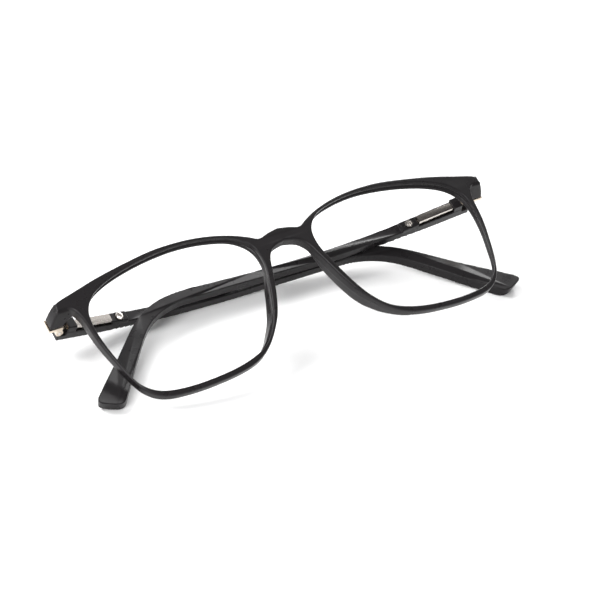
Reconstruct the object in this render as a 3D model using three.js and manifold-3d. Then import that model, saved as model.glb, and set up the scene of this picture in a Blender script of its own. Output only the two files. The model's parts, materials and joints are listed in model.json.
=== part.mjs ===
// Folded plastic eyeglasses frame without lenses, with spring hinges. Millimetres, +Z up.
//
// Every piece is drawn in the wearer's frame, X to the wearer's left, Y to the back of the head
// and Z up, with the origin on the front face midway between the lenses. The last lines lay the
// folded frame down on its temples, face up, as it rests on a table.
import * as THREE from 'three';
import { mergeVertices } from 'three/addons/utils/BufferGeometryUtils.js';
import Module from 'manifold-3d';

const wasm = await Module();
wasm.setup();

// ---------------------------------------------------------------- driving dimensions
// Front
const FRONT_RADIUS_ACROSS = 600;     // the front face is bowed gently in both directions
const FRONT_RADIUS_UP = 340;
const RIM_DEPTH = 3.3;               // rim depth level with the origin
const RIM_DEPTH_GAIN = 0.03;         // the rims are deeper at the brow than at the cheek
const GROOVE_DEPTH = 0.45;
const GROOVE_FRONT = 0.36;           // the lens groove as fractions of the rim depth
const GROOVE_BACK = 0.64;

// Nose pad: a wall along the nose side of the rim
const PAD_THICKNESS = 1.4;
const PAD_ROOT = 0.7;                // where it leaves the rim, as a fraction of the rim depth
const PAD_SPLAY = 0.12;              // it leans away from the nose towards the back
const PAD_NOSE_END = 5.5;            // it follows the rim from here, across the front, to PAD_CHEEK_END
const PAD_CHEEK_END = 25;

// Endpieces, hinge axis and temple plane
const PIVOT = new THREE.Vector3(66.6, 12.9, 9.8);
const PANTOSCOPIC_TILT = THREE.MathUtils.degToRad(5);
const OUTER_FACE = 3.4;              // outer side of the open temple, from the hinge axis
const INNER_FACE = -0.7;             // inner edge of the hinge plate, from the hinge axis
const PLATE_BACK = -1.6;             // back face of the hinge plate, from the hinge axis
const PLATE_THICKNESS = 1.0;
const HINGE_HALF_HEIGHT = 1.85;
const CORNER = new THREE.Vector3(67.9, 4, 12.8);     // outer top corner of the front
const CORNER_HEIGHT = 3;
const ENDPIECE_INNER = 62.8;
const PLATE_LIP = 0.3;               // the hinge plate stands out this far past the end's outer side
const CLEARANCE = 0.3;

// Hinge
const BARREL_RADIUS = 1.1;
const PIN_HOLE_RADIUS = 0.58;
const PIN_RADIUS = 0.5;
const PIN_HEAD_RADIUS = 0.95;
const PIN_HEAD_HEIGHT = 0.45;
const MIDDLE_HALF_HEIGHT = 0.55;
const OUTER_BARREL_START = 0.8;
const FOLD_LEFT = THREE.MathUtils.degToRad(8.9);    // folded temple past the line of the front
const FOLD_RIGHT = THREE.MathUtils.degToRad(12.3);

// Screw that holds the hinge plate in the endpiece
const PLATE_SCREW_X = 2;
const PLATE_SCREW_RADIUS = 0.4;
const PLATE_SCREW_HEAD = 0.8;
const PLATE_SCREW_END = -4.4;
const SCREW_GAP = 0.15;              // between a screw and its hole

// Spring unit, measured along the temple from the hinge axis
const HOUSING_START = 3.4;
const HOUSING_END = 16.8;
const HOUSING_HALF = 1.05;
const MOUTH_HALF = 0.72;
const MOUTH_END = 8.9;
const BORE_RADIUS = 0.74;
const BORE_END = 16;
const TAIL_END = 21.6;
const TAIL_THICKNESS = 0.5;
const TAIL_HALF = 1.0;
const NECK_HALF = 0.42;
const CARRIAGE_START = 4;
const CARRIAGE_END = 7.2;
const CARRIAGE_HALF = 0.6;
const ROD_RADIUS = 0.28;
const ROD_END = 14;
const BUSH_START = 9.2;
const BUSH_END = 10.0;
const NUT_START = 14.2;
const NUT_END = 15.1;
const NUT_RADIUS = 0.62;             // of the nut and the bush
const SPRING_RADIUS = 0.5;
const SPRING_WIRE_RADIUS = 0.1;
const SPRING_TURNS = 9;

// Screw that holds the housing in the temple
const SCREW_PLACE = 19.8;
const SCREW_RADIUS = 0.5;
const SCREW_HEAD = 1.15;
const SCREW_HEAD_THICKNESS = 0.5;
const SCREW_DEPTH = 2.8;
const SCREW_SLOT_HALF = 0.16;

// Temple, measured along its middle line from the hinge axis
const TEMPLE_START = 0.2;
const TEMPLE_THICKNESS = 2.9;
const TEMPLE_RISE = 0.3;             // its middle line runs a little above the housing
const TEMPLE_INNER = OUTER_FACE - TEMPLE_THICKNESS;
const BEND_START = 88;
const BEND_LENGTH = 30;
const BEND_ANGLE = THREE.MathUtils.degToRad(48.6);
const TEMPLE_LENGTH = 142.3;
const TIP_SLANT = 1.1;               // the tip is longer by this at its upper edge, shorter at its lower
const TIP_CORNER = 2.4;
const BOW_START = 22;
const BOW_AT_TIP = 27.4;
const BOW_POWER = 1.625;
const BARREL_ROOM = 1.5;             // inner side of the temple's hinge end
const STRAP_START = 2.6;
const STRAP_END = 5.4;
const STRAP_INNER = -1.6;
const BOSS_INNER = -0.45;            // top of the boss under the housing's screw
const BOSS_END = 22.4;
const FIT_GAP = 0.2;                 // round the housing in its pocket

// Resting place on a table
const RESTING_TILT = THREE.MathUtils.degToRad(-64.37);
const RESTING_LEAN = THREE.MathUtils.degToRad(-3.31);

const SMOOTH = 20;                   // sides of the small turned pieces

// ---------------------------------------------------------------- materials
function plastic(color) {
  return new THREE.MeshStandardMaterial({ color, roughness: 0.5, metalness: 0 });
}

function steel(color, roughness) {
  return new THREE.MeshStandardMaterial({ color, roughness, metalness: 1 });
}

// ---------------------------------------------------------------- solids
function solid(geometry) {
  const bare = geometry.clone();
  bare.deleteAttribute('normal');
  bare.deleteAttribute('uv');
  const merged = mergeVertices(bare, 1e-4);
  return new wasm.Manifold(new wasm.Mesh({
    numProp: 3,
    vertProperties: new Float32Array(merged.attributes.position.array),
    triVerts: new Uint32Array(merged.index.array),
  }));
}

function geometryOf(manifold) {
  const mesh = manifold.getMesh();
  const geometry = new THREE.BufferGeometry();
  geometry.setAttribute('position', new THREE.BufferAttribute(mesh.vertProperties.slice(), 3));
  geometry.setIndex(new THREE.BufferAttribute(mesh.triVerts.slice(), 1));
  geometry.computeVertexNormals();
  return geometry;
}

function reshape(geometry, move) {
  const position = geometry.attributes.position;
  const point = new THREE.Vector3();
  for (let i = 0; i < position.count; i += 1) {
    point.fromBufferAttribute(position, i);
    move(point);
    position.setXYZ(i, point.x, point.y, point.z);
  }
  return geometry;
}

function mirrored(geometry) {
  const copy = geometry.clone();
  reshape(copy, (point) => { point.x = -point.x; });
  const index = copy.index;
  for (let i = 0; i < index.count; i += 3) {
    const first = index.getX(i);
    index.setX(i, index.getX(i + 1));
    index.setX(i + 1, first);
  }
  copy.computeVertexNormals();
  return copy;
}

function box(x0, x1, y0, y1, z0, z1) {
  const geometry = new THREE.BoxGeometry(x1 - x0, y1 - y0, z1 - z0);
  geometry.translate((x0 + x1) / 2, (y0 + y1) / 2, (z0 + z1) / 2);
  return solid(geometry);
}

// A turned piece on the hinge axis, from z0 to z1.
function upright(radius, z0, z1) {
  const geometry = new THREE.CylinderGeometry(radius, radius, z1 - z0, SMOOTH);
  geometry.rotateX(Math.PI / 2);
  geometry.translate(0, 0, (z0 + z1) / 2);
  return solid(geometry);
}

// A turned piece lying along the temple, from y0 to y1.
function lengthwise(radius, y0, y1) {
  const geometry = new THREE.CylinderGeometry(radius, radius, y1 - y0, SMOOTH);
  geometry.translate(0, (y0 + y1) / 2, 0);
  return solid(geometry);
}

// A turned piece across the temple, from x0 to x1, at the distance y along it.
function crosswise(radius, x0, x1, y) {
  const geometry = new THREE.CylinderGeometry(radius, radius, x1 - x0, SMOOTH);
  geometry.rotateZ(Math.PI / 2);
  geometry.translate((x0 + x1) / 2, y, 0);
  return solid(geometry);
}

// ---------------------------------------------------------------- front
const LENS_EDGE = [
  [60.9, 2.5], [60.2, 7.3], [57.4, 11.2], [52.5, 13.8], [45.5, 15.8], [36.5, 17.2], [28, 17.5],
  [20, 16.4], [13.2, 14.1], [9.4, 9.9], [8.8, 4.6], [10.3, -1.4], [13, -9.2], [15.6, -14.2],
  [19.8, -18.7], [27, -21.4], [36.5, -22.5], [46.5, -22.2], [53, -20.5], [56.9, -16.8],
  [59.1, -9.4], [60.4, -3.2],
];
const BROW_EDGE = [
  [0, 13.4], [3.2, 12.8], [6.5, 12], [9.4, 13.5], [13.5, 15.4], [19, 17.1], [25, 18.2],
  [31, 18.6], [37, 18.5], [45, 17.5], [54, 16], [61, 14.4], [66.2, 13.2], [67.8, 12.3],
];
const ARCH_EDGE = [
  [68.2, 10], [65.2, 10], [63.7, 8.8], [62.9, 6.6], [62.5, 4.2], [62.1, 0], [61.4, -4],
  [60.4, -8], [59.3, -12], [57.9, -16], [56.4, -19], [54, -21.5], [50.5, -23.1], [46, -23.8],
  [41, -24.1], [36, -24], [30.5, -23.6], [25.5, -22.7], [21.5, -21], [18, -18.3], [14.8, -14.6],
  [12.3, -10.9], [10.1, -6], [8.7, -2], [7.4, 1.8], [6.3, 5], [4.8, 7.2], [3, 8.3], [0, 9],
];

function vectors(pairs) {
  return pairs.map(([x, z]) => new THREE.Vector2(x, z));
}

function faceDepth(x, z) {
  return x * x / (2 * FRONT_RADIUS_ACROSS) + z * z / (2 * FRONT_RADIUS_UP);
}

function rimDepth(z) {
  return RIM_DEPTH + RIM_DEPTH_GAIN * z;
}

// Sheet of the front between two fractions of its depth, bowed to the curve of the front.
function bowedSheet(shape, from, to) {
  const geometry = new THREE.ExtrudeGeometry(shape, { depth: 1, bevelEnabled: false });
  geometry.rotateX(Math.PI / 2);
  geometry.translate(0, 1, 0);
  reshape(geometry, (point) => {
    const fraction = from + point.y * (to - from);
    point.y = faceDepth(point.x, point.z) + fraction * rimDepth(point.z);
  });
  return solid(geometry);
}

function lensLoop(side) {
  const loop = vectors(LENS_EDGE).map((point) => new THREE.Vector3(side * point.x, point.y, 0));
  const curve = new THREE.CatmullRomCurve3(loop, true, 'centripetal');
  return curve.getPoints(72).slice(0, -1).map((point) => new THREE.Vector2(point.x, point.y));
}

function widened(loop, distance) {
  const middle = loop.reduce((sum, point) => sum.add(point), new THREE.Vector2());
  middle.divideScalar(loop.length);
  return loop.map((point, i) => {
    const before = loop[(i + loop.length - 1) % loop.length];
    const after = loop[(i + 1) % loop.length];
    const outward = new THREE.Vector2(after.y - before.y, before.x - after.x).normalize();
    if (outward.dot(point.clone().sub(middle)) < 0) {
      outward.negate();
    }
    return point.clone().addScaledVector(outward, distance);
  });
}

function frontOutline() {
  const brow = new THREE.SplineCurve(vectors(BROW_EDGE)).getPoints(44);
  const arch = new THREE.SplineCurve(vectors(ARCH_EDGE)).getPoints(96);
  const left = [...brow, ...arch];
  const right = left.slice(1, -1).reverse().map((point) => new THREE.Vector2(-point.x, point.y));
  return new THREE.Shape([...left, ...right].reverse());
}

// Back edge of the nose pad: how far back it stands at each height.
const PAD_REACH = [
  [-23.5, 2.2], [-20.3, 3.9], [-17.5, 5.3], [-14, 6.5], [-10.8, 6.6], [-7, 6.4], [-2.3, 6.1], [0, 5.6],
  [3, 4.4], [6, 3],
];

// Value at a place between the listed ones. The ends hold beyond them.
function between(list, place) {
  const i = list.findIndex(([at]) => at >= place);
  if (i <= 0) {
    return list[i === 0 ? 0 : list.length - 1][1];
  }
  const [low, lowValue] = list[i - 1];
  const [high, highValue] = list[i];
  return THREE.MathUtils.lerp(lowValue, highValue, (place - low) / (high - low));
}

function nosePad() {
  const rim = new THREE.SplineCurve(vectors(ARCH_EDGE)).getPoints(96);
  const line = rim.filter(({ x, y }, i) => i > rim.length / 2 && x > PAD_NOSE_END && x < PAD_CHEEK_END);
  const inner = line.map((point, i) => {
    const before = line[Math.max(i - 1, 0)];
    const after = line[Math.min(i + 1, line.length - 1)];
    const along = after.clone().sub(before).normalize();
    return point.clone().add(new THREE.Vector2(along.y, -along.x).multiplyScalar(PAD_THICKNESS));
  });
  const shape = new THREE.Shape([...line, ...inner.reverse()]);
  const geometry = new THREE.ExtrudeGeometry(shape, { depth: 1, bevelEnabled: false });
  geometry.rotateX(Math.PI / 2);
  geometry.translate(0, 1, 0);
  reshape(geometry, (point) => {
    const root = PAD_ROOT * rimDepth(point.z);
    const reach = between(PAD_REACH, point.z);
    const depth = THREE.MathUtils.lerp(root, Math.max(reach, root + 0.1), point.y);
    point.y = faceDepth(point.x, point.z) + depth;
    point.x += PAD_SPLAY * (depth - root);
  });
  return solid(geometry);
}

// Endpiece: the front wraps back from its corner to the end face that carries the hinge plate.
const END_FACE = PLATE_BACK - PLATE_THICKNESS - CLEARANCE;
const END_SIDE = PIVOT.x + OUTER_FACE - PLATE_LIP;
const END_INNER = PIVOT.x + INNER_FACE;

function endpiece() {
  const endY = PIVOT.y + END_FACE;
  const plan = new THREE.Shape();
  plan.moveTo(ENDPIECE_INNER, faceDepth(ENDPIECE_INNER, CORNER.z) + 0.4);
  plan.lineTo(CORNER.x, CORNER.y + 0.2);
  plan.quadraticCurveTo(69.3, 6.8, END_SIDE, endY);
  plan.lineTo(END_INNER, endY);
  plan.quadraticCurveTo(65.2, 7.8, ENDPIECE_INNER, 7.2);
  plan.closePath();
  const height = 2 * HINGE_HALF_HEIGHT;
  const geometry = new THREE.ExtrudeGeometry(plan, {
    depth: height,
    bevelEnabled: false,
    curveSegments: 5,
  });
  // the tilted plate stands a little higher here than its middle at the axis
  const plateMiddle = PIVOT.z - END_FACE * Math.sin(PANTOSCOPIC_TILT);
  reshape(geometry, (point) => {
    const along = THREE.MathUtils.clamp((point.y - CORNER.y) / (endY - CORNER.y), 0, 1);
    const top = THREE.MathUtils.lerp(CORNER.z, plateMiddle + HINGE_HALF_HEIGHT, along);
    const bottom = THREE.MathUtils.lerp(CORNER.z - CORNER_HEIGHT, plateMiddle - HINGE_HALF_HEIGHT, along);
    point.z = THREE.MathUtils.lerp(bottom, top, point.z / height);
  });
  return solid(geometry);
}

function frontFrame() {
  const outline = frontOutline();
  for (const side of [1, -1]) {
    outline.holes.push(new THREE.Path(lensLoop(side)));
  }
  let body = bowedSheet(outline, 0, 1);
  for (const side of [1, -1]) {
    const grooveShape = new THREE.Shape(widened(lensLoop(side), GROOVE_DEPTH));
    body = body.subtract(bowedSheet(grooveShape, GROOVE_FRONT, GROOVE_BACK));
    for (const piece of [nosePad(), endpiece()]) {
      body = body.add(side === 1 ? piece : solid(mirrored(geometryOf(piece))));
    }
    const hole = inFrontFrame(plateScrewHole(), side);
    body = body.subtract(hole);
  }
  return geometryOf(body);
}

// ---------------------------------------------------------------- hinge pieces
// These are drawn about the hinge axis of the wearer's left side: x outward, y along the open
// temple and z up the axis.
function alongY(manifoldPiece, x) {
  return manifoldPiece.translate([x, 0, 0]);
}

function plateScrewHole() {
  const hole = lengthwise(PLATE_SCREW_RADIUS + SCREW_GAP, PLATE_SCREW_END - CLEARANCE, 0);
  return alongY(hole, PLATE_SCREW_X);
}

function hingePlate() {
  const half = HINGE_HALF_HEIGHT;
  let plate = box(INNER_FACE, OUTER_FACE, PLATE_BACK - PLATE_THICKNESS, PLATE_BACK, -half, half);
  for (const [z0, z1] of [[-half, -OUTER_BARREL_START], [OUTER_BARREL_START, half]]) {
    plate = plate.add(upright(BARREL_RADIUS, z0, z1));
    plate = plate.add(box(INNER_FACE, BARREL_RADIUS, PLATE_BACK - 0.2, 0, z0, z1));
  }
  plate = plate.subtract(upright(PIN_HOLE_RADIUS, -half - 1, half + 1));
  plate = plate.subtract(plateScrewHole());
  const sink = lengthwise(PLATE_SCREW_HEAD + SCREW_GAP, PLATE_BACK - 0.55, 0);
  return plate.subtract(alongY(sink, PLATE_SCREW_X));
}

function plateScrew() {
  const headFront = PLATE_BACK - 0.45;
  const shank = lengthwise(PLATE_SCREW_RADIUS, PLATE_SCREW_END, headFront + 0.1);
  const head = lengthwise(PLATE_SCREW_HEAD, headFront, PLATE_BACK - 0.05);
  const slot = box(-1, 1, PLATE_BACK - 0.25, 0, -0.12, 0.12);
  return alongY(shank.add(head).subtract(slot), PLATE_SCREW_X);
}

function pivotScrew() {
  const headBottom = HINGE_HALF_HEIGHT + 0.1;
  const headTop = headBottom + PIN_HEAD_HEIGHT;
  const shank = upright(PIN_RADIUS, -HINGE_HALF_HEIGHT, headBottom + 0.1);
  const head = upright(PIN_HEAD_RADIUS, headBottom, headTop);
  const slot = box(-1, 1, -0.13, 0.13, headTop - 0.23, headTop + 1);
  return shank.add(head).subtract(slot);
}

function squareBar(half, y0, y1) {
  return box(-half, half, y0, y1, -half, half);
}

function springSlider() {
  const barrel = upright(BARREL_RADIUS, -MIDDLE_HALF_HEIGHT, MIDDLE_HALF_HEIGHT);
  const neck = squareBar(NECK_HALF, 0.4, CARRIAGE_START + 0.2);
  const carriage = squareBar(CARRIAGE_HALF, CARRIAGE_START, CARRIAGE_END);
  const rod = lengthwise(ROD_RADIUS, CARRIAGE_END - 0.2, ROD_END);
  return barrel.add(neck).add(carriage).add(rod).subtract(upright(PIN_HOLE_RADIUS, -1, 1));
}

function rodNut() {
  return lengthwise(NUT_RADIUS, NUT_START, NUT_END);
}

function springBush() {
  return lengthwise(NUT_RADIUS, BUSH_START, BUSH_END).subtract(lengthwise(ROD_RADIUS + 0.08, 0, 20));
}

class Helix extends THREE.Curve {
  getPoint(t, target = new THREE.Vector3()) {
    const angle = t * SPRING_TURNS * 2 * Math.PI;
    const start = BUSH_END + 2 * SPRING_WIRE_RADIUS;
    const end = NUT_START - 2 * SPRING_WIRE_RADIUS;
    const y = start + t * (end - start);
    return target.set(SPRING_RADIUS * Math.cos(angle), y, SPRING_RADIUS * Math.sin(angle));
  }
}

function coilSpring() {
  const section = new THREE.Shape();
  section.absarc(0, 0, SPRING_WIRE_RADIUS, 0, 2 * Math.PI);
  const steps = SPRING_TURNS * 12;
  return solid(new THREE.ExtrudeGeometry(section, {
    extrudePath: new Helix(),
    steps,
    curveSegments: 3,
  }));
}

function springHousing() {
  const shell = squareBar(HOUSING_HALF, HOUSING_START, HOUSING_END);
  const tail = box(
    TEMPLE_INNER,
    TEMPLE_INNER + TAIL_THICKNESS,
    HOUSING_END - 0.2,
    TAIL_END,
    -TAIL_HALF,
    TAIL_HALF,
  );
  const mouth = squareBar(MOUTH_HALF, 0, MOUTH_END);
  const bore = lengthwise(BORE_RADIUS, MOUTH_END - 0.4, BORE_END);
  const screwHole = crosswise(SCREW_RADIUS + SCREW_GAP, 0, 3, SCREW_PLACE);
  return shell.add(tail).subtract(mouth).subtract(bore).subtract(screwHole);
}

function housingScrew() {
  const headBottom = BOSS_INNER + 0.15;
  const headTop = headBottom - SCREW_HEAD_THICKNESS;
  const head = crosswise(SCREW_HEAD, headTop, headBottom, SCREW_PLACE);
  const shank = crosswise(SCREW_RADIUS, headBottom - 0.2, SCREW_DEPTH - 0.3, SCREW_PLACE);
  const recess = crosswise(SCREW_HEAD - 0.35, headTop - 0.1, headTop + 0.12, SCREW_PLACE);
  const slot = box(
    headTop - 1,
    headTop + 0.3,
    SCREW_PLACE - SCREW_SLOT_HALF,
    SCREW_PLACE + SCREW_SLOT_HALF,
    -0.8,
    0.8,
  );
  return head.add(shank).subtract(recess).subtract(slot);
}

// ---------------------------------------------------------------- temple
const HALF_HEIGHTS = [
  [0, 2], [12, 1.9], [25, 1.6], [50, 1.35], [75, 1.5], [95, 1.6], [110, 1.85], [125, 2.5],
  [136, 3.3], [142.3, 3.5],
];

function slopeAt(s) {
  return BEND_ANGLE * THREE.MathUtils.smoothstep(s, BEND_START, BEND_START + BEND_LENGTH);
}

// Places along the middle line of the temple in its side view, with the slope at each.
function templeStations() {
  const stations = [];
  const step = 0.5;
  let y = TEMPLE_START;
  let z = TEMPLE_RISE;
  for (let s = TEMPLE_START; s <= TEMPLE_LENGTH; s += step) {
    const slope = slopeAt(s);
    stations.push({ s, y, z, slope });
    y += step * Math.cos(slope);
    z -= step * Math.sin(slope);
  }
  return stations;
}

// Point beside a station: so far further along the temple, and so far above its middle line.
function beside({ y, z, slope }, ahead, above) {
  return new THREE.Vector2(
    y + ahead * Math.cos(slope) + above * Math.sin(slope),
    z - ahead * Math.sin(slope) + above * Math.cos(slope),
  );
}

function templeOutline() {
  const lastStation = TEMPLE_LENGTH - TIP_CORNER - TIP_SLANT;
  const all = templeStations().filter(({ s }) => s <= lastStation);
  const kept = all.filter(({ s }, i) => {
    const inBend = s > BEND_START - 2 && s < BEND_START + BEND_LENGTH + 2;
    return i === 0 || i === all.length - 1 || i % (inBend ? 4 : 10) === 0;
  });
  const last = kept[kept.length - 1];
  const half = between(HALF_HEIGHTS, TEMPLE_LENGTH);
  const upperEnd = TEMPLE_LENGTH + TIP_SLANT - last.s;
  const lowerEnd = TEMPLE_LENGTH - TIP_SLANT - last.s;
  const across = TIP_CORNER / (2 * half);
  const corner = (from, bend, to) => new THREE.QuadraticBezierCurve(from, bend, to).getPoints(6);
  const tip = [
    ...corner(
      beside(last, lowerEnd - TIP_CORNER, -half),
      beside(last, lowerEnd, -half),
      beside(last, THREE.MathUtils.lerp(lowerEnd, upperEnd, across), TIP_CORNER - half),
    ),
    ...corner(
      beside(last, THREE.MathUtils.lerp(upperEnd, lowerEnd, across), half - TIP_CORNER),
      beside(last, upperEnd, half),
      beside(last, upperEnd - TIP_CORNER, half),
    ),
  ];
  const edge = (side) => kept.slice(0, -1).map((at) => beside(at, 0, side * between(HALF_HEIGHTS, at.s)));
  return new THREE.Shape([...edge(-1), ...tip, ...edge(1).reverse()]);
}

function bow(s) {
  const reach = Math.max(0, s - BOW_START) / (TEMPLE_LENGTH - BOW_START);
  return BOW_AT_TIP * reach ** BOW_POWER;
}

function temple() {
  const geometry = new THREE.ExtrudeGeometry(templeOutline(), {
    depth: TEMPLE_THICKNESS,
    bevelEnabled: false,
  });
  geometry.applyMatrix4(new THREE.Matrix4().makeBasis(
    new THREE.Vector3(0, 1, 0),
    new THREE.Vector3(0, 0, 1),
    new THREE.Vector3(1, 0, 0),
  ));
  geometry.translate(TEMPLE_INNER, 0, 0);
  let body = solid(geometry);
  // the strap that holds the spring housing, and the boss under the screw
  const root = TEMPLE_INNER + 0.2;
  const bossStart = HOUSING_END + CLEARANCE;
  body = body.add(box(STRAP_INNER, root, STRAP_START, STRAP_END, -1.6, 1.8));
  body = body.add(box(BOSS_INNER, root, bossStart, BOSS_END, -1.45, 1.6));
  // room for the hinge barrels, the housing, its tail and the screw
  const pocket = HOUSING_HALF + FIT_GAP;
  const tailRoom = TAIL_HALF + FIT_GAP;
  const tailOuter = TEMPLE_INNER + TAIL_THICKNESS + FIT_GAP;
  body = body.subtract(box(-3, BARREL_ROOM, -3, STRAP_START, -3, 3));
  body = body.subtract(box(-pocket, pocket, 0, bossStart, -pocket, pocket));
  body = body.subtract(box(
    TEMPLE_INNER - FIT_GAP,
    tailOuter,
    HOUSING_END - 0.5,
    TAIL_END + CLEARANCE,
    -tailRoom,
    tailRoom,
  ));
  body = body.subtract(crosswise(SCREW_RADIUS + SCREW_GAP, -3, SCREW_DEPTH, SCREW_PLACE));
  body = body.subtract(crosswise(SCREW_HEAD + SCREW_GAP, -3, BOSS_INNER + 0.3, SCREW_PLACE));
  const bowed = reshape(geometryOf(body), (point) => {
    const pastBend = Math.hypot(point.y - BEND_START, point.z);
    const s = point.y < BEND_START ? point.y : BEND_START + pastBend;
    point.x -= bow(s);
  });
  return solid(bowed);
}

// ---------------------------------------------------------------- assembly
function hingeToFront() {
  const tilt = new THREE.Matrix4().makeRotationX(-PANTOSCOPIC_TILT);
  return tilt.setPosition(PIVOT);
}

function inFrontFrame(manifoldPiece, side) {
  const geometry = geometryOf(manifoldPiece);
  geometry.applyMatrix4(hingeToFront());
  return solid(side === 1 ? geometry : mirrored(geometry));
}

const group = new THREE.Group();
const glasses = new THREE.Group();
group.add(glasses);

function addPiece(name, geometry, material, parent) {
  const mesh = new THREE.Mesh(geometry, material);
  mesh.name = name;
  parent.add(mesh);
}

addPiece('front_frame', frontFrame(), plastic('#373639'), glasses);

for (const [word, side, fold] of [['left', 1, FOLD_LEFT], ['right', -1, FOLD_RIGHT]]) {
  const hinge = new THREE.Group();
  hinge.position.set(side * PIVOT.x, PIVOT.y, PIVOT.z);
  hinge.rotation.x = -PANTOSCOPIC_TILT;
  glasses.add(hinge);

  const folded = new THREE.Group();
  folded.rotation.z = side * (Math.PI / 2 - fold);
  hinge.add(folded);

  const place = (name, piece, material, parent) => {
    const geometry = geometryOf(piece);
    addPiece(`${name}_${word}`, side === 1 ? geometry : mirrored(geometry), material, parent);
  };
  place('hinge_plate', hingePlate(), steel('#dccdc3', 0.3), hinge);
  place('plate_screw', plateScrew(), steel('#c9c4bf', 0.35), hinge);
  place('pivot_screw', pivotScrew(), steel('#cfc6bd', 0.35), hinge);
  place('spring_slider', springSlider(), steel('#d5c9bd', 0.3), folded);
  place('rod_nut', rodNut(), steel('#c8b07a', 0.35), folded);
  place('spring_bush', springBush(), steel('#c8b07a', 0.35), folded);
  place('coil_spring', coilSpring(), steel('#b9bcc0', 0.3), folded);
  place('spring_housing', springHousing(), steel('#dfd6cf', 0.25), folded);
  place('housing_screw', housingScrew(), steel('#cfcac6', 0.35), folded);
  place('temple', temple(), plastic('#373639'), folded);
}

// Lie the folded frame down on its temples, then set it on the table about its middle.
glasses.rotation.order = 'YXZ';
glasses.rotation.x = RESTING_TILT;
glasses.rotation.y = RESTING_LEAN;
group.updateMatrixWorld(true);
const extent = new THREE.Box3().setFromObject(group, true);
const middle = extent.getCenter(new THREE.Vector3());
glasses.position.set(-middle.x, -middle.y, -extent.min.z);

export default group;
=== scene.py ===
"""Folded black plastic eyeglasses frame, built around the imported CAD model.

The front is rebuilt finely from the same outlines as its CAD node. The temples and the coil springs are
copies of their CAD nodes with every edge rounded. The other metal pieces are copies with flat faces and
small bevels. Shapes are worked out in millimetres and brought to metres at the end.
"""
import json
import math

import bpy
import bmesh
from mathutils import Matrix, Vector
from mathutils.geometry import tessellate_polygon


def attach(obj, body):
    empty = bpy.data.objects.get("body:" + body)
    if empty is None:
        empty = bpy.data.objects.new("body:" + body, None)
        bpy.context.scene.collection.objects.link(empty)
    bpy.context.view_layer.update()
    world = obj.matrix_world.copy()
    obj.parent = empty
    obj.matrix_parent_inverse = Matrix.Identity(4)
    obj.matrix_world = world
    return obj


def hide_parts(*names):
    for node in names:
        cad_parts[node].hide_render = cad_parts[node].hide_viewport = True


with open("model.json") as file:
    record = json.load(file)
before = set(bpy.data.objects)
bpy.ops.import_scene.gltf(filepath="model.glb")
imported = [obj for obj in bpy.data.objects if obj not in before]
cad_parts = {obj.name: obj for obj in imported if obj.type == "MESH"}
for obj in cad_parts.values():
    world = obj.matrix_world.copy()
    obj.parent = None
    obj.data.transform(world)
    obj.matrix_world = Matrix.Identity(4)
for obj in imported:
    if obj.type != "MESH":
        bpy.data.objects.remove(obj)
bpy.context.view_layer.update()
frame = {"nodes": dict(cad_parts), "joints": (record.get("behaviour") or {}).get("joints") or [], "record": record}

MM = 0.001
PANTOSCOPIC_TILT = math.radians(5)    # how far the front leans from square to the temples

# Front, in the wearer's frame: x to the left, y to the back, z up, all in millimetres
FRONT_RADIUS_ACROSS = 600             # the front face is bowed gently in both directions
FRONT_RADIUS_UP = 340
RIM_DEPTH = 3.3                       # rim depth level with the origin
RIM_DEPTH_GAIN = 0.03                 # the rims are deeper at the brow than at the cheek
PIVOT_SIDE = 66.6                     # place of the hinge axis: to the side, back and up
PIVOT_DEPTH = 12.9
PIVOT_HEIGHT = 9.8

# Endpiece
OUTER_FACE = 3.4                      # outer side of the open temple, from the hinge axis
INNER_FACE = -0.7                     # inner side of the endpiece's end, from the hinge axis
END_FACE = -2.9                       # end of the endpiece, in front of the hinge axis
PLATE_LIP = 0.3                       # the hinge plate stands out this far past the end's outer side
HINGE_HALF_HEIGHT = 1.85
CORNER = Vector((67.9, 4, 12.8))      # outer top corner of the front
CORNER_HEIGHT = 3
CORNER_SET_BACK = 0.2                 # the outline starts this far behind the corner
ENDPIECE_INNER = 62.8
ENDPIECE_INNER_BACK = 7.2             # how far back the inner side starts
FACE_SET_BACK = 0.4                   # its inner front corner stays this far behind the front face
OUTER_BEND = (69.3, 6.8)              # points that the outer and the inner curve lean to
INNER_BEND = (65.2, 7.8)
BEND_STEPS = 8

# Fineness of the outlines
UNIFORM = 0
CENTRIPETAL = 0.25
BROW_STEPS = 10
ARCH_STEPS = 8
LENS_STEPS = 14
LENS_EASING = 12
SMALLEST_SPAN = 1e-6

# Fineness and rounding of the pieces. Lengths are in millimetres.
WELD = 0.0005                         # corners nearer than this become one
PLASTIC_VOXEL = 0.15
WIRE_VOXEL = 0.05
FRONT_PASSES = 4                      # rounds of smoothing after the remesh
TEMPLE_PASSES = 5
WIRE_PASSES = 1
SMOOTHING = 0.5
METAL_BEVEL = 0.05
FLAT = math.radians(1)                # faces turned less than this become one
SHARP = math.radians(35)              # edges turned more than this are bevelled
BEVEL = {"segments": 2, "profile": 0.5, "affect": "EDGES", "clamp_overlap": True}
FLAT_WEIGHT = 100                     # how much the large faces set the shading


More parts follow.
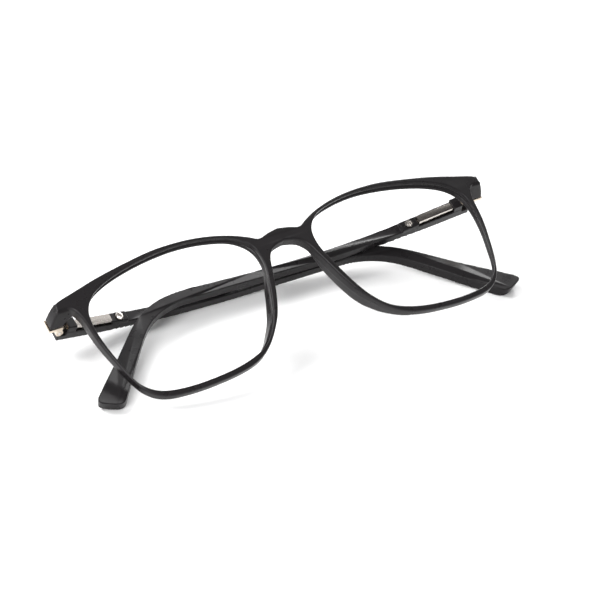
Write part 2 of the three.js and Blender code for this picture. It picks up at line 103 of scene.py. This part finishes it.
# ---------------------------------------------------------------- frames of reference
def wearers_frame():
    """Matrix from the wearer's frame in millimetres to the row frame in metres, from the two fold joints."""
    joints = {joint["name"]: joint for joint in frame["joints"]}
    left = Vector(joints["fold_left"]["pos_m"])
    right = Vector(joints["fold_right"]["pos_m"])
    across = (left - right).normalized()
    axis = Vector(joints["fold_right"]["axis"]).normalized()
    back_along_hinge = axis.cross(across)
    tilt = Matrix.Rotation(PANTOSCOPIC_TILT, 3, across)
    back, up = tilt @ back_along_hinge, tilt @ axis
    turn = Matrix((across, back, up)).transposed()
    origin = (left + right) / 2 - turn @ Vector((0, PIVOT_DEPTH, PIVOT_HEIGHT)) * MM
    return Matrix.Translation(origin) @ (turn * MM).to_4x4()


# ---------------------------------------------------------------- mesh tools
def evaluated_mesh(obj):
    graph = bpy.context.evaluated_depsgraph_get()
    return bpy.data.meshes.new_from_object(obj.evaluated_get(graph))


def softened(name, mesh, voxel, passes):
    """Object of a mesh in millimetres, remeshed as one skin with its edges rounded."""
    obj = bpy.data.objects.new(name, mesh)
    bpy.context.scene.collection.objects.link(obj)
    remesh = obj.modifiers.new("skin", "REMESH")
    remesh.mode = "VOXEL"
    remesh.voxel_size = voxel
    smooth = obj.modifiers.new("round", "SMOOTH")
    smooth.factor = SMOOTHING
    smooth.iterations = passes
    obj.data = evaluated_mesh(obj)
    obj.modifiers.clear()
    for polygon in obj.data.polygons:
        polygon.use_smooth = True
    return obj


def node_shape(node):
    """Bmesh of a CAD node in millimetres."""
    shape = bmesh.new()
    shape.from_mesh(frame["nodes"][node].data)
    bmesh.ops.scale(shape, vec=(1 / MM,) * 3, verts=shape.verts)
    bmesh.ops.remove_doubles(shape, verts=shape.verts, dist=WELD)
    return shape


def softened_node(node, voxel, passes):
    """Copy of a CAD node in metres, remeshed as one skin with its edges rounded."""
    shape = node_shape(node)
    mesh = bpy.data.meshes.new(node)
    shape.to_mesh(mesh)
    shape.free()
    obj = softened(node + "_piece", mesh, voxel, passes)
    obj.data.transform(Matrix.Scale(MM, 4))
    return obj


def bevelled_node(node):
    """Copy of a CAD node in metres, with flat faces and small bevels."""
    shape = node_shape(node)
    bmesh.ops.dissolve_limit(shape, angle_limit=FLAT, verts=shape.verts, edges=shape.edges)
    sharp = [edge for edge in shape.edges if edge.is_manifold and edge.calc_face_angle() > SHARP]
    bmesh.ops.bevel(shape, geom=sharp, offset=METAL_BEVEL, **BEVEL)
    bmesh.ops.scale(shape, vec=(MM,) * 3, verts=shape.verts)
    for face in shape.faces:
        face.smooth = True
    mesh = bpy.data.meshes.new(node)
    shape.to_mesh(mesh)
    shape.free()
    obj = bpy.data.objects.new(node + "_piece", mesh)
    bpy.context.scene.collection.objects.link(obj)
    weighted = obj.modifiers.new("flat_faces", "WEIGHTED_NORMAL")
    weighted.weight = FLAT_WEIGHT
    return obj


def closed_mesh(rings, caps):
    """Closed bmesh of rings of points joined by walls, with caps across the first and the last ring.

    rings is a list of levels, each a list of loops, each a list of 3-D points. caps holds each level's
    loops laid flat. The first and the last of them are filled with triangles to make the two caps.
    """
    shape = bmesh.new()
    levels = [[[shape.verts.new(point) for point in loop] for loop in level] for level in rings]
    for low, high in zip(levels, levels[1:]):
        for loop_low, loop_high in zip(low, high):
            count = len(loop_low)
            for i in range(count):
                j = (i + 1) % count
                shape.faces.new((loop_low[i], loop_low[j], loop_high[j], loop_high[i]))
    for level, flat in ((levels[0], caps[0]), (levels[-1], caps[-1])):
        corners = [vertex for loop in level for vertex in loop]
        for triangle in tessellate_polygon(flat):
            shape.faces.new([corners[k] for k in triangle])
    bmesh.ops.recalc_face_normals(shape, faces=shape.faces)
    return shape


def catmull_rom(points, closed, steps, power):
    """Smooth line through 2-D points. The power is UNIFORM or CENTRIPETAL."""
    points = [Vector(point) for point in points]
    count = len(points)
    spans = count if closed else count - 1
    line = []
    for i in range(spans):
        near = [i - 1, i, i + 1, i + 2]
        if closed:
            p0, p1, p2, p3 = (points[k % count] for k in near)
        else:
            p0, p1, p2, p3 = (points[min(max(k, 0), count - 1)] for k in near)
        spaces = ((p0, p1), (p1, p2), (p2, p3))
        d0, d1, d2 = (max((b - a).length_squared, SMALLEST_SPAN) ** power for a, b in spaces)
        m1 = ((p1 - p0) / d0 - (p2 - p0) / (d0 + d1) + (p2 - p1) / d1) * d1
        m2 = ((p2 - p1) / d1 - (p3 - p1) / (d1 + d2) + (p3 - p2) / d2) * d1
        for k in range(steps):
            t = k / steps
            line.append(
                p1 * (2 * t**3 - 3 * t**2 + 1) + m1 * (t**3 - 2 * t**2 + t)
                + p2 * (3 * t**2 - 2 * t**3) + m2 * (t**3 - t**2)
            )
    if not closed:
        line.append(points[-1])
    return line


def eased(loop, passes):
    """Closed loop with the small unevenness between its listed points taken out."""
    for _ in range(passes):
        count = len(loop)
        loop = [(loop[i - 1] + 2 * loop[i] + loop[(i + 1) % count]) / 4 for i in range(count)]
    return loop


def moved_out(loop, distance):
    """Closed loop moved away from its inside by a distance, or towards it where that is negative."""
    count = len(loop)
    turn = sum(loop[i - 1].x * loop[i].y - loop[i].x * loop[i - 1].y for i in range(count))
    side = 1 if turn > 0 else -1
    out = []
    for i in range(count):
        along = (loop[(i + 1) % count] - loop[i - 1]).normalized()
        out.append(loop[i] + Vector((along.y, -along.x)) * side * distance)
    return out


# ---------------------------------------------------------------- front
LENS_EDGE = [
    (60.9, 2.5), (60.2, 7.3), (57.4, 11.2), (52.5, 13.8), (45.5, 15.8), (36.5, 17.2), (28, 17.5),
    (20, 16.4), (13.2, 14.1), (9.4, 9.9), (8.8, 4.6), (10.3, -1.4), (13, -9.2), (15.6, -14.2),
    (19.8, -18.7), (27, -21.4), (36.5, -22.5), (46.5, -22.2), (53, -20.5), (56.9, -16.8),
    (59.1, -9.4), (60.4, -3.2),
]
BROW_EDGE = [
    (0, 13.4), (3.2, 12.8), (6.5, 12), (9.4, 13.5), (13.5, 15.4), (19, 17.1), (25, 18.2),
    (31, 18.6), (37, 18.5), (45, 17.5), (54, 16), (61, 14.4), (66.2, 13.2), (67.8, 12.3),
]
ARCH_EDGE = [
    (68.2, 10), (65.2, 10), (63.7, 8.8), (62.9, 6.6), (62.5, 4.2), (62.1, 0), (61.4, -4),
    (60.4, -8), (59.3, -12), (57.9, -16), (56.4, -19), (54, -21.5), (50.5, -23.1), (46, -23.8),
    (41, -24.1), (36, -24), (30.5, -23.6), (25.5, -22.7), (21.5, -21), (18, -18.3), (14.8, -14.6),
    (12.3, -10.9), (10.1, -6), (8.7, -2), (7.4, 1.8), (6.3, 5), (4.8, 7.2), (3, 8.3), (0, 9),
]
# Section of the rim: fraction of its depth, how far the outer edge is drawn in, and how far the
# lens edge stands back. The lens groove is the stretch that stands back furthest.
RIM_SECTION = [
    (0, 0.42, 0.2), (0.03, 0.24, 0.1), (0.08, 0.1, 0.03), (0.15, 0.02, 0), (0.35, 0, 0),
    (0.37, 0, 0.45), (0.63, 0, 0.45), (0.65, 0, 0), (0.85, 0.02, 0), (0.92, 0.1, 0.03),
    (0.97, 0.24, 0.1), (1, 0.42, 0.2),
]
# Nose pad: a wall along the nose side of the rim. PAD_REACH gives how far back its edge stands at
# each height, and PAD_SECTION how far it is drawn in on its way from the rim to that edge.
PAD_THICKNESS = 1.4
PAD_ROOT = 0.7                        # where it leaves the rim, as a fraction of the rim depth
PAD_SPLAY = 0.12                      # it leans away from the nose towards the back
PAD_NOSE_END = 5.5                    # it follows the rim from here, across the front, to PAD_CHEEK_END
PAD_CHEEK_END = 25
PAD_LEAST = 0.1                       # it stands out of its root by at least this much
PAD_REACH = [
    (-23.5, 2.2), (-20.3, 3.9), (-17.5, 5.3), (-14, 6.5), (-10.8, 6.6), (-7, 6.4), (-2.3, 6.1), (0, 5.6),
    (3, 4.4), (6, 3),
]
PAD_SECTION = [(0, 0), (0.5, 0), (0.8, 0.02), (0.92, 0.16), (1, 0.4)]
# Rounding of the endpiece, from its lower to its upper side: fraction of its height, and how far its
# outline is drawn in.
END_SECTION = [(0, 0.3), (0.05, 0.12), (0.12, 0), (0.88, 0), (0.95, 0.12), (1, 0.3)]


def face_depth(x, z):
    """How far the bowed front face lies behind the front's middle."""
    return x * x / (2 * FRONT_RADIUS_ACROSS) + z * z / (2 * FRONT_RADIUS_UP)


def on_front(point, fraction):
    """3-D place of an outline point, at a fraction of the rim's depth."""
    depth = face_depth(point.x, point.y) + fraction * (RIM_DEPTH + RIM_DEPTH_GAIN * point.y)
    return Vector((point.x, depth, point.y))


def rims():
    """Bridge and both rims, one bowed sheet with its edges rounded and a groove round each opening."""
    left = catmull_rom(BROW_EDGE, False, BROW_STEPS, UNIFORM)
    left += catmull_rom(ARCH_EDGE, False, ARCH_STEPS, UNIFORM)
    outline = left + [Vector((-point.x, point.y)) for point in left[1:-1][::-1]]
    opening = eased(catmull_rom(LENS_EDGE, True, LENS_STEPS, CENTRIPETAL), LENS_EASING)
    openings = [[Vector((side * point.x, point.y)) for point in opening] for side in (1, -1)]
    rings = []
    flats = []
    for fraction, drawn_in, stands_back in RIM_SECTION:
        loops = [moved_out(outline, -drawn_in)] + [moved_out(loop, stands_back) for loop in openings]
        rings.append([[on_front(point, fraction) for point in loop] for loop in loops])
        flats.append([[Vector((point.x, point.y, 0)) for point in loop] for loop in loops])
    return closed_mesh(rings, flats)


def plate(outline, section, place):
    """Plate of a flat outline, rounded along both sides. place gives the 3-D point of (u, v, through)."""
    rings = []
    flats = []
    for through, drawn_in in section:
        loop = moved_out(outline, -drawn_in)
        rings.append([[place(point.x, point.y, through) for point in loop]])
        flats.append([[Vector((point.x, point.y, 0)) for point in loop]])
    return closed_mesh(rings, flats)


def between(pairs, place):
    """Value at a place between the listed ones. The ends hold beyond them."""
    if place <= pairs[0][0]:
        return pairs[0][1]
    for (low, low_value), (high, high_value) in zip(pairs, pairs[1:]):
        if place <= high:
            return low_value + (high_value - low_value) * (place - low) / (high - low)
    return pairs[-1][1]


def nose_pad(side):
    """Wall moulded along the nose side of a rim. It leans away from the nose towards the back."""
    rim = catmull_rom(ARCH_EDGE, False, ARCH_STEPS, UNIFORM)
    line = [point for point in rim[len(rim) // 2:] if PAD_NOSE_END < point.x < PAD_CHEEK_END]
    inner = []
    for i, point in enumerate(line):
        along = (line[min(i + 1, len(line) - 1)] - line[max(i - 1, 0)]).normalized()
        inner.append(point + Vector((along.y, -along.x)) * PAD_THICKNESS)

    def place(x, z, through):
        root = PAD_ROOT * (RIM_DEPTH + RIM_DEPTH_GAIN * z)
        depth = root + through * max(between(PAD_REACH, z) - root, PAD_LEAST)
        return Vector((side * (x + PAD_SPLAY * (depth - root)), face_depth(x, z) + depth, z))

    return plate(line + inner[::-1], PAD_SECTION, place)


def arc(start, bend, end):
    """Points of a curve from start to end that leans to the bend point, without its start."""
    start, bend, end = Vector(start), Vector(bend), Vector(end)
    line = []
    for k in range(1, BEND_STEPS + 1):
        t = k / BEND_STEPS
        line.append(start * (1 - t) ** 2 + bend * 2 * t * (1 - t) + end * t * t)
    return line


def endpiece(side):
    """Corner of the front that runs back to the end face, where the hinge plate sits."""
    end_y = PIVOT_DEPTH + END_FACE
    end_side = PIVOT_SIDE + OUTER_FACE - PLATE_LIP
    end_inner = PIVOT_SIDE + INNER_FACE
    start = (CORNER.x, CORNER.y + CORNER_SET_BACK)
    inner_front = (ENDPIECE_INNER, face_depth(ENDPIECE_INNER, CORNER.z) + FACE_SET_BACK)
    outline = [Vector(inner_front), Vector(start)]
    outline += arc(start, OUTER_BEND, (end_side, end_y))
    outline += [Vector((end_inner, end_y))]
    outline += arc((end_inner, end_y), INNER_BEND, (ENDPIECE_INNER, ENDPIECE_INNER_BACK))
    plate_middle = PIVOT_HEIGHT - END_FACE * math.sin(PANTOSCOPIC_TILT)

    def place(x, y, through):
        along = min(max((y - CORNER.y) / (end_y - CORNER.y), 0), 1)
        top = CORNER.z + along * (plate_middle + HINGE_HALF_HEIGHT - CORNER.z)
        low = CORNER.z - CORNER_HEIGHT
        bottom = low + along * (plate_middle - HINGE_HALF_HEIGHT - low)
        return Vector((side * x, y, bottom + through * (top - bottom)))

    return plate(outline, END_SECTION, place)


def front():
    """The front moulding: rims, nose pads and endpieces as one skin."""
    parts = [rims()]
    for side in (1, -1):
        parts += [nose_pad(side), endpiece(side)]
    whole = bmesh.new()
    for part in parts:
        mesh = bpy.data.meshes.new("part")
        part.to_mesh(mesh)
        part.free()
        whole.from_mesh(mesh)
    mesh = bpy.data.meshes.new("front")
    whole.to_mesh(mesh)
    whole.free()
    obj = softened("front_moulding", mesh, PLASTIC_VOXEL, FRONT_PASSES)
    obj.data.transform(wearers_frame())
    return obj


# ---------------------------------------------------------------- materials
# Noises: repeats per metre and levels of detail
CLOUD = (90, 4)
PATCHES = (260, 5)
GRAIN = (3200, 3)
METAL_TONE = (700, 3)
METAL_MARKS = (2600, 4)
RAMP_STOPS = (0.3, 0.7)

PLASTIC_DARK = (0.0105, 0.0094, 0.0102)
PLASTIC_LIGHT = (0.0135, 0.012, 0.013)
PLASTIC_ROUGHNESS = (0.25, 0.34)
PLASTIC_SPECULAR = 0.2
METAL_ROUGHNESS_SPREAD = 0.03
# Bumps: strength and height in metres
GRAIN_BUMP = (0.07, 0.00002)
MARKS_BUMP = (0.08, 0.00001)
EVEN = (1, 1, 1)                      # noise with no stretch


def new_material(name):
    """New material with its nodes, its links and its shader."""
    material = bpy.data.materials.new(name)
    material.use_nodes = True
    nodes = material.node_tree.nodes
    return material, nodes, material.node_tree.links, nodes["Principled BSDF"]


def noise(nodes, links, scale, detail, stretch=EVEN):
    """Noise fixed to the piece. The scale is in repeats per metre."""
    place = nodes.new("ShaderNodeTexCoord")
    mapping = nodes.new("ShaderNodeMapping")
    mapping.inputs["Scale"].default_value = stretch
    texture = nodes.new("ShaderNodeTexNoise")
    texture.inputs["Scale"].default_value = scale
    texture.inputs["Detail"].default_value = detail
    links.new(place.outputs["Object"], mapping.inputs["Vector"])
    links.new(mapping.outputs["Vector"], texture.inputs["Vector"])
    return texture.outputs["Fac"]


def ramp(nodes, links, source, low, high):
    """Greys or colours from low to high, as the source goes from one stop to the other."""
    ramp_node = nodes.new("ShaderNodeValToRGB")
    for element, position, value in zip(ramp_node.color_ramp.elements, RAMP_STOPS, (low, high)):
        element.position = position
        element.color = (*value, 1) if isinstance(value, tuple) else (value, value, value, 1)
    links.new(source, ramp_node.inputs["Fac"])
    return ramp_node.outputs["Color"]


def bump(nodes, links, shader, height, strength, distance):
    node = nodes.new("ShaderNodeBump")
    node.inputs["Strength"].default_value = strength
    node.inputs["Distance"].default_value = distance
    links.new(height, node.inputs["Height"])
    links.new(node.outputs["Normal"], shader.inputs["Normal"])


def black_plastic():
    """Satin black moulding: faint cloudy tone, fine moulded grain and slightly polished patches."""
    material, nodes, links, shader = new_material("black_plastic")
    cloud = noise(nodes, links, *CLOUD)
    tone = ramp(nodes, links, cloud, PLASTIC_DARK, PLASTIC_LIGHT)
    links.new(tone, shader.inputs["Base Color"])
    patches = noise(nodes, links, *PATCHES)
    links.new(ramp(nodes, links, patches, *PLASTIC_ROUGHNESS), shader.inputs["Roughness"])
    shader.inputs["Specular IOR Level"].default_value = PLASTIC_SPECULAR
    bump(nodes, links, shader, noise(nodes, links, *GRAIN), *GRAIN_BUMP)
    return material


def metal(name, dark, light, roughness, stretch):
    """Satin metal with fine marks, drawn out along the axes where the stretch is small."""
    material, nodes, links, shader = new_material(name)
    shader.inputs["Metallic"].default_value = 1
    tone = noise(nodes, links, *METAL_TONE)
    links.new(ramp(nodes, links, tone, dark, light), shader.inputs["Base Color"])
    marks = noise(nodes, links, *METAL_MARKS, stretch)
    smoothest, roughest = roughness - METAL_ROUGHNESS_SPREAD, roughness + METAL_ROUGHNESS_SPREAD
    links.new(ramp(nodes, links, marks, smoothest, roughest), shader.inputs["Roughness"])
    bump(nodes, links, shader, marks, *MARKS_BUMP)
    return material


MATERIALS = {
    "black_plastic": black_plastic(),
    "hinge_steel": metal("hinge_steel", (0.68, 0.58, 0.47), (0.73, 0.63, 0.52), 0.26, (1, 1, 6)),
    "housing_steel": metal("housing_steel", (0.76, 0.71, 0.66), (0.8, 0.75, 0.7), 0.2, (0.2, 3, 3)),
    "screw_steel": metal("screw_steel", (0.68, 0.64, 0.6), (0.73, 0.69, 0.65), 0.24, EVEN),
    "spring_steel": metal("spring_steel", (0.5, 0.51, 0.53), (0.62, 0.63, 0.65), 0.3, EVEN),
    "brass": metal("brass", (0.7, 0.53, 0.25), (0.8, 0.64, 0.34), 0.32, EVEN),
}


# ---------------------------------------------------------------- pieces on their bodies
def settle(piece, node):
    """The piece takes over a CAD node: its body, its slot and that slot's material."""
    slots = {row["node"]: row["material_slot"] for row in frame["record"]["subparts"]}
    bodies = frame["record"]["behaviour"]["bodies"]
    body = next(name for name, nodes in bodies.items() if node in nodes)
    piece.data.materials.clear()
    piece.data.materials.append(MATERIALS[slots[node]])
    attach(piece, body)
    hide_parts(node)


BEVELLED = [
    "hinge_plate", "plate_screw", "pivot_screw", "spring_slider", "rod_nut", "spring_bush",
    "spring_housing", "housing_screw",
]

settle(front(), "front_frame")
for word in ("left", "right"):
    settle(softened_node("temple_" + word, PLASTIC_VOXEL, TEMPLE_PASSES), "temple_" + word)
    settle(softened_node("coil_spring_" + word, WIRE_VOXEL, WIRE_PASSES), "coil_spring_" + word)
    for name in BEVELLED:
        settle(bevelled_node(f"{name}_{word}"), f"{name}_{word}")


# ---------------------------------------------------------------- studio
FLOOR_SIZE = 6
FLOOR_COLOUR = (0.93, 0.93, 0.93, 1)
FLOOR_ROUGHNESS = 0.9
WORLD_COLOUR = (1, 1, 1, 1)
WORLD_STRENGTH = 0.45
LIGHT_SIZE = 0.6
LIGHTS = [
    ("back_left", (-0.6, 0.5, 0.7), 10),
    ("back_right", (0.7, 0.7, 0.6), 10),
    ("front_left", (-0.8, -0.4, 0.7), 9),
]
CAMERA_PLACE = (-0.3098, -0.4398, 0.3651)
CAMERA_AZIMUTH = math.radians(35.25)
CAMERA_ELEVATION = math.radians(33.54)
CAMERA_ROLL = math.radians(6.42)
CAMERA_LENS = 140.7                   # focal length, for a sensor of the width below
CAMERA_SENSOR = 36
CAMERA_CLIP_START = 0.01


def floor():
    """Plain pale floor, a part of the studio and not of the frame."""
    bpy.ops.mesh.primitive_plane_add(size=FLOOR_SIZE, location=(0, 0, 0))
    plane = bpy.context.object
    plane.name = "studio_floor"
    material, _, _, shader = new_material("studio_floor")
    shader.inputs["Base Color"].default_value = FLOOR_COLOUR
    shader.inputs["Roughness"].default_value = FLOOR_ROUGHNESS
    shader.inputs["Specular IOR Level"].default_value = 0
    plane.data.materials.append(material)


def area_light(name, place, power):
    """Round soft light aimed at the origin."""
    data = bpy.data.lights.new(name, "AREA")
    data.shape = "DISK"
    data.size = LIGHT_SIZE
    data.energy = power
    light = bpy.data.objects.new(name, data)
    light.location = place
    light.rotation_euler = (-Vector(place)).to_track_quat("-Z", "Y").to_euler()
    bpy.context.scene.collection.objects.link(light)


def camera():
    """A long lens in front of the wearer's lower right, rolled a little."""
    flat = math.cos(CAMERA_ELEVATION)
    ahead = (math.sin(CAMERA_AZIMUTH) * flat, math.cos(CAMERA_AZIMUTH) * flat)
    forward = Vector((*ahead, -math.sin(CAMERA_ELEVATION)))
    level = Vector((math.cos(CAMERA_AZIMUTH), -math.sin(CAMERA_AZIMUTH), 0))
    upright = level.cross(forward)
    right = level * math.cos(CAMERA_ROLL) + upright * math.sin(CAMERA_ROLL)
    up = right.cross(forward)
    turn = Matrix((right, up, -forward)).transposed().to_4x4()
    data = bpy.data.cameras.new("camera")
    data.lens = CAMERA_LENS
    data.sensor_width = CAMERA_SENSOR
    data.clip_start = CAMERA_CLIP_START
    view = bpy.data.objects.new("camera", data)
    view.matrix_world = Matrix.Translation(CAMERA_PLACE) @ turn
    bpy.context.scene.collection.objects.link(view)
    bpy.context.scene.camera = view


floor()
world = bpy.data.worlds.new("studio")
bpy.context.scene.world = world
world.use_nodes = True
background = world.node_tree.nodes["Background"]
background.inputs["Color"].default_value = WORLD_COLOUR
background.inputs["Strength"].default_value = WORLD_STRENGTH
for light_name, light_place, light_power in LIGHTS:
    area_light(light_name, light_place, light_power)
camera()
bpy.context.scene.view_settings.view_transform = "Standard"
